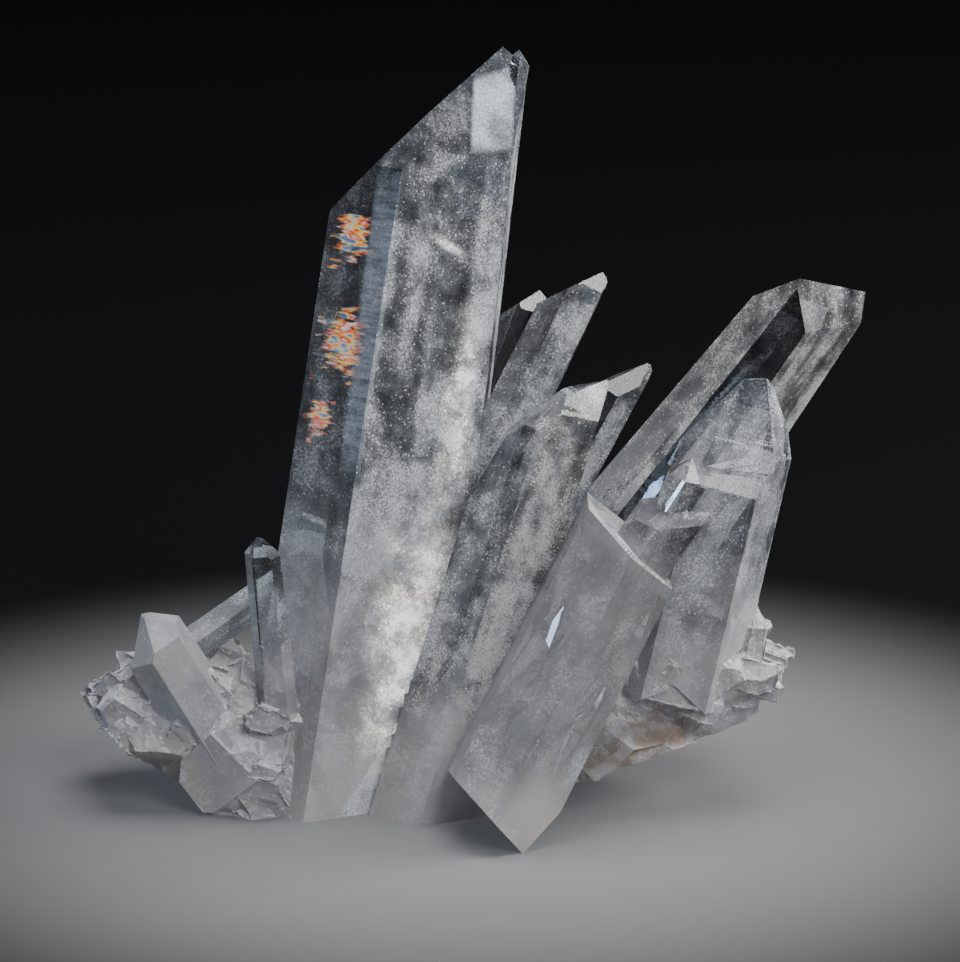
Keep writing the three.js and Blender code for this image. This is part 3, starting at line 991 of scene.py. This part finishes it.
def sheet_on_face(view, body, axes, name, face, depth, corners):
    """A thin sheet along a face of the main crystal, whose corners show at the given pixels.

    Sheets under the surface are wavy.
    """
    crystal = next(item for item in axes if item.name == "main")
    index = axes.index(crystal)
    owner = body.data.attributes["owner"].data

    def is_wanted(polygon):
        if owner[polygon.index].value != index:
            return False
        if face is None:
            on_point = crystal.slope(polygon.normal) > LEAST_POINT_SLOPE
            return on_point and polygon.normal.y < TOWARDS_VIEWER
        return polygon.normal.dot(crystal.outward(face)) > SAME_WAY

    polygon = max(filter(is_wanted, body.data.polygons), key=lambda item: item.area)
    normal = polygon.normal.copy()
    base = polygon.center - normal * depth * MM
    wave = normal * min(SHEET_WAVE, max(0.0, depth * SHEET_WAVE_SHARE * MM))
    places = []
    for pixel in corners:
        eye, ray = view_ray(view, pixel)
        places.append(eye + ray * (base - eye).dot(normal) / ray.dot(normal))
    low_left, low_right, high_right, high_left = places
    bpy.ops.object.select_all(action="DESELECT")
    bpy.ops.mesh.primitive_grid_add(x_subdivisions=SHEET_CUTS, y_subdivisions=SHEET_CUTS, size=1)
    sheet = bpy.context.object
    sheet.name = name
    for vertex in sheet.data.vertices:
        u, v = vertex.co.x + 0.5, vertex.co.y + 0.5
        place = low_left.lerp(low_right, u).lerp(high_left.lerp(high_right, u), v)
        vertex.co = place + wave * noise.noise(place * SHEET_WAVE_RATE)
    trim_to_body(sheet, body, max(0.0, depth * MM) + SHEET_LEAST_REACH)
    return sheet


def trim_to_body(sheet, body, deepest):
    """Takes off what of a sheet sticks out of the crystals, or lies deeper than it should."""
    outside = set()
    for vertex in sheet.data.vertices:
        _, near, outward, _ = body.closest_point_on_mesh(vertex.co)
        away = vertex.co - near
        if away.dot(outward) > SHEET_LEAST_REACH or away.length > deepest:
            outside.add(vertex.index)
    delete_faces(sheet, lambda polygon: not outside.isdisjoint(polygon.vertices))


class QUARTZ_OT_veils(bpy.types.Operator):
    """Make the speckled veils on the crystals' faces"""

    bl_idname = "quartz.veils"
    bl_label = "Veils on the faces"

    def execute(self, context):
        looks = context.scene.quartz_looks
        axes = crystal_axes()
        body = bpy.data.objects["crystal_cluster"]
        veil = veils_on_faces(body, axes, looks.skin_gap * VEIL_SHARE_OF_GAP)
        finished(veil, speckled_veils(looks))
        return {"FINISHED"}


class QUARTZ_OT_fractures(bpy.types.Operator):
    """Make the rainbow fractures, the striped painted reflection and the white core of the main
    crystal
    """

    bl_idname = "quartz.fractures"
    bl_label = "Fractures and white core"

    def execute(self, context):
        looks = context.scene.quartz_looks
        view = context.scene.quartz_view
        axes = crystal_axes()
        body = bpy.data.objects["crystal_cluster"]
        rainbow = rainbow_fracture(looks)
        core = core_cloud(looks)
        sheets = []
        for number, facts in enumerate(RAINBOW_SHEETS, 1):
            sheets.append((f"rainbow_fracture_{number}", facts, rainbow))
        for number, facts in enumerate(CORE_SHEETS, 1):
            sheets.append((f"white_core_{number}", facts, core))
        sheets += [
            ("striped_painted_reflection", STRIPED_REFLECTION_SHEET, striped_painted_reflection(looks)),
            ("sparkling_veil", SPARKLE_SHEET, core),
            ("diagonal_veil", DIAGONAL_SHEET, core),
            ("tip_veil", TIP_SHEET, grey_veil(looks)),
        ]
        for name, facts, material in sheets:
            sheet = finished(sheet_on_face(view, body, axes, name, **facts), material)
            # A deep sheet would show again, mirrored in the faces behind it.
            sheet.visible_glossy = facts["depth"] <= 0
        return {"FINISHED"}


# The floor, the light and the camera


def pale_floor(view):
    """A round floor, pale under the cluster, with a pool of light painted into its colour: it falls
    off to painted shade away from it.
    """
    bpy.ops.object.select_all(action="DESELECT")
    bpy.ops.mesh.primitive_circle_add(vertices=FLOOR_SIDES, radius=FLOOR_RADIUS, fill_type="NGON")
    floor = bpy.context.object
    floor.name = "floor"
    material, n, shader = new_material("pale floor")
    where = n.add("ShaderNodeVectorMath", operation="LENGTH")
    n.link(n.add("ShaderNodeTexCoord").outputs["Object"], where.inputs[0])
    # Painted pool of light: the colour goes from the pale floor colour to the painted shade colour
    # between 35 and 130 mm from the middle.
    tone = n.between(where.outputs["Value"], 0.035, 0.13)
    colour = n.blend(tone, (*view.floor_colour, 1), (*view.floor_painted_shade_colour, 1))
    n.link(colour, shader.inputs["Base Color"])
    shader.inputs["Roughness"].default_value = 0.9
    shader.inputs["Specular IOR Level"].default_value = 0.05
    floor.data.materials.append(material)


def dim_sky(view):
    """Light from all round: none from low down, and more towards the top."""
    world = bpy.data.worlds.new("studio")
    bpy.context.scene.world = world
    world.use_nodes = True
    n = Nodes(world.node_tree)
    background = world.node_tree.nodes["Background"]
    split = n.add("ShaderNodeSeparateXYZ")
    n.link(n.add("ShaderNodeTexCoord").outputs["Generated"], split.inputs[0])
    rise = n.between(split.outputs["Z"], 0.25, 1.0)
    colour = n.blend(rise, (0.004, 0.004, 0.005, 1), (0.3, 0.32, 0.36, 1))
    n.link(colour, background.inputs["Color"])
    background.inputs["Strength"].default_value = view.sky_strength


def soft_lamps(view):
    """The soft lamps, each turned towards the cluster."""
    for name, place, size, power, colour in LAMPS:
        light = bpy.data.lights.new(name, "AREA")
        light.size = size
        light.energy = power * view.light_strength
        light.color = colour
        lamp = bpy.data.objects.new(name, light)
        lamp.location = place
        aim = Vector(LAMPS_AIM) - Vector(place)
        lamp.rotation_euler = aim.to_track_quat("-Z", "Y").to_euler()
        bpy.context.collection.objects.link(lamp)


def front_camera(view):
    """The camera at the photograph's viewing angle."""
    tilt = view.elevation
    away = Vector((0, -math.cos(tilt), math.sin(tilt))) * view.distance
    camera = bpy.data.cameras.new("camera")
    camera.lens = view.lens
    camera.sensor_width = SENSOR_WIDTH
    camera.clip_start = 0.01
    eye = bpy.data.objects.new("camera", camera)
    eye.location = Vector(view.target) + away
    eye.rotation_euler = (math.pi / 2 - tilt, 0, 0)
    bpy.context.collection.objects.link(eye)
    bpy.context.scene.camera = eye


class QUARTZ_OT_stage(bpy.types.Operator):
    """Set up the floor, the soft light and the camera"""

    bl_idname = "quartz.stage"
    bl_label = "Floor, light and camera"

    def execute(self, context):
        view = context.scene.quartz_view
        pale_floor(view)
        dim_sky(view)
        soft_lamps(view)
        front_camera(view)
        return {"FINISHED"}


# Settings and panel


class QuartzLooks(bpy.types.PropertyGroup):
    clear_colour: bpy.props.FloatVectorProperty(
        name="Clear quartz", description="Tint of the clear quartz", subtype="COLOR",
        default=(0.97, 0.98, 1.0), min=0, max=1)
    depth_of_tone: bpy.props.FloatProperty(
        name="Depth of tone", description="How fast light is lost in the quartz, per metre",
        default=30.0, min=0)
    milk_cool: bpy.props.FloatVectorProperty(
        name="Milky quartz, cool", description="Colour of the milky root where it is cool",
        subtype="COLOR", default=(0.54, 0.54, 0.6), min=0, max=1)
    milk_warm: bpy.props.FloatVectorProperty(
        name="Milky quartz, warm", description="Colour of the milky root where it is warm",
        subtype="COLOR", default=(0.55, 0.53, 0.5), min=0, max=1)
    low_beige: bpy.props.FloatVectorProperty(
        name="Milky quartz, low down", description="Colour that the milky root takes at its foot",
        subtype="COLOR", default=(0.52, 0.48, 0.42), min=0, max=1)
    iron_stain: bpy.props.FloatVectorProperty(
        name="Iron stain", description="Colour of the rust on the underside", subtype="COLOR",
        default=(0.3, 0.17, 0.07), min=0, max=1)
    veil_cool: bpy.props.FloatVectorProperty(
        name="Veils, cool", description="Colour of the veils where they are cool",
        subtype="COLOR", default=(0.62, 0.68, 0.76), min=0, max=1)
    veil_warm: bpy.props.FloatVectorProperty(
        name="Veils, warm", description="Colour of the veils where they are warm",
        subtype="COLOR", default=(0.76, 0.74, 0.7), min=0, max=1)
    # Painted reflection: the pale blue of the strip, between its growth lines.
    painted_reflection_colour: bpy.props.FloatVectorProperty(
        name="Striped painted reflection", description="Colour of the strip of growth lines",
        subtype="COLOR", default=(0.42, 0.52, 0.66), min=0, max=1)
    # Painted light: how strongly the rainbow fractures glow by emission in place of lamp light.
    rainbow_painted_glow: bpy.props.FloatProperty(
        name="Rainbow painted glow", description="Light given back by the rainbow fractures",
        default=0.8, min=0)
    # Painted light: how strongly the white core and its streaks glow by emission in place of lamp
    # light.
    core_painted_glow: bpy.props.FloatProperty(
        name="Core painted glow", description="Light given back by the white core", default=1.1, min=0)
    # Painted light: how strongly the strip glows by emission.
    strip_painted_glow: bpy.props.FloatProperty(
        name="Strip painted glow", description="Light given back by the striped painted reflection", default=0.25, min=0)
    chip_size: bpy.props.FloatProperty(
        name="Chip size", description="Longest edge on broken stone", subtype="DISTANCE",
        default=0.0011, min=0.0003)
    chip_depth: bpy.props.FloatProperty(
        name="Chip depth", description="How deep the breaks go into the stone",
        subtype="DISTANCE", default=0.0009, min=0)
    skin_gap: bpy.props.FloatProperty(
        name="Skin gap", description="Depth of the clear surface under the milky skin",
        subtype="DISTANCE", default=0.00004, min=0)


class QuartzView(bpy.types.PropertyGroup):
    floor_colour: bpy.props.FloatVectorProperty(
        name="Floor", description="Colour of the floor under the cluster", subtype="COLOR",
        default=(0.24, 0.24, 0.245), min=0, max=1)
    # Painted shade: the dark colour the floor is painted with away from the cluster, where its painted
    # pool of light ends.
    floor_painted_shade_colour: bpy.props.FloatVectorProperty(
        name="Floor, painted shade", description="Colour of the floor where the light leaves it",
        subtype="COLOR", default=(0.004, 0.004, 0.0045), min=0, max=1)
    sky_strength: bpy.props.FloatProperty(
        name="Sky", description="Strength of the light from all round", default=0.9, min=0)
    light_strength: bpy.props.FloatProperty(
        name="Lights", description="Strength of the soft lights", default=1.35, min=0)
    elevation: bpy.props.FloatProperty(
        name="Elevation", description="How far the camera looks down", subtype="ANGLE",
        default=math.radians(15))
    distance: bpy.props.FloatProperty(
        name="Distance", description="From the camera to its target", subtype="DISTANCE",
        default=0.72)
    lens: bpy.props.FloatProperty(
        name="Lens", description="Focal length of the camera in millimetres", default=180.0)
    target: bpy.props.FloatVectorProperty(
        name="Target", description="What the camera looks at", subtype="TRANSLATION",
        default=tuple(spot(0.6, 0.0, 50.3)))


class QUARTZ_PT_panel(bpy.types.Panel):
    """The steps and settings of the quartz crystal cluster"""

    bl_label = "Quartz crystal cluster"
    bl_idname = "QUARTZ_PT_panel"
    bl_space_type = "VIEW_3D"
    bl_region_type = "UI"
    bl_category = "Quartz"

    def draw(self, context):
        layout = self.layout
        for step in STEPS:
            layout.operator(step.bl_idname)
        for group in (context.scene.quartz_looks, context.scene.quartz_view):
            for name in group.__annotations__:
                layout.prop(group, name)


STEPS = (QUARTZ_OT_body, QUARTZ_OT_veils, QUARTZ_OT_fractures, QUARTZ_OT_stage)
CLASSES = (QuartzLooks, QuartzView, *STEPS, QUARTZ_PT_panel)


def register():
    """Makes the operators, the panel and the settings known to Blender."""
    for item in CLASSES:
        bpy.utils.register_class(item)
    bpy.types.Scene.quartz_looks = bpy.props.PointerProperty(type=QuartzLooks)
    bpy.types.Scene.quartz_view = bpy.props.PointerProperty(type=QuartzView)


def unregister():
    """Takes back what register does."""
    del bpy.types.Scene.quartz_view
    del bpy.types.Scene.quartz_looks
    for item in reversed(CLASSES):
        bpy.utils.unregister_class(item)


def main():
    """Builds everything in order."""
    register()
    for step in STEPS:
        family, name = step.bl_idname.split(".")
        getattr(getattr(bpy.ops, family), name)()


if __name__ == "__main__":
    main()
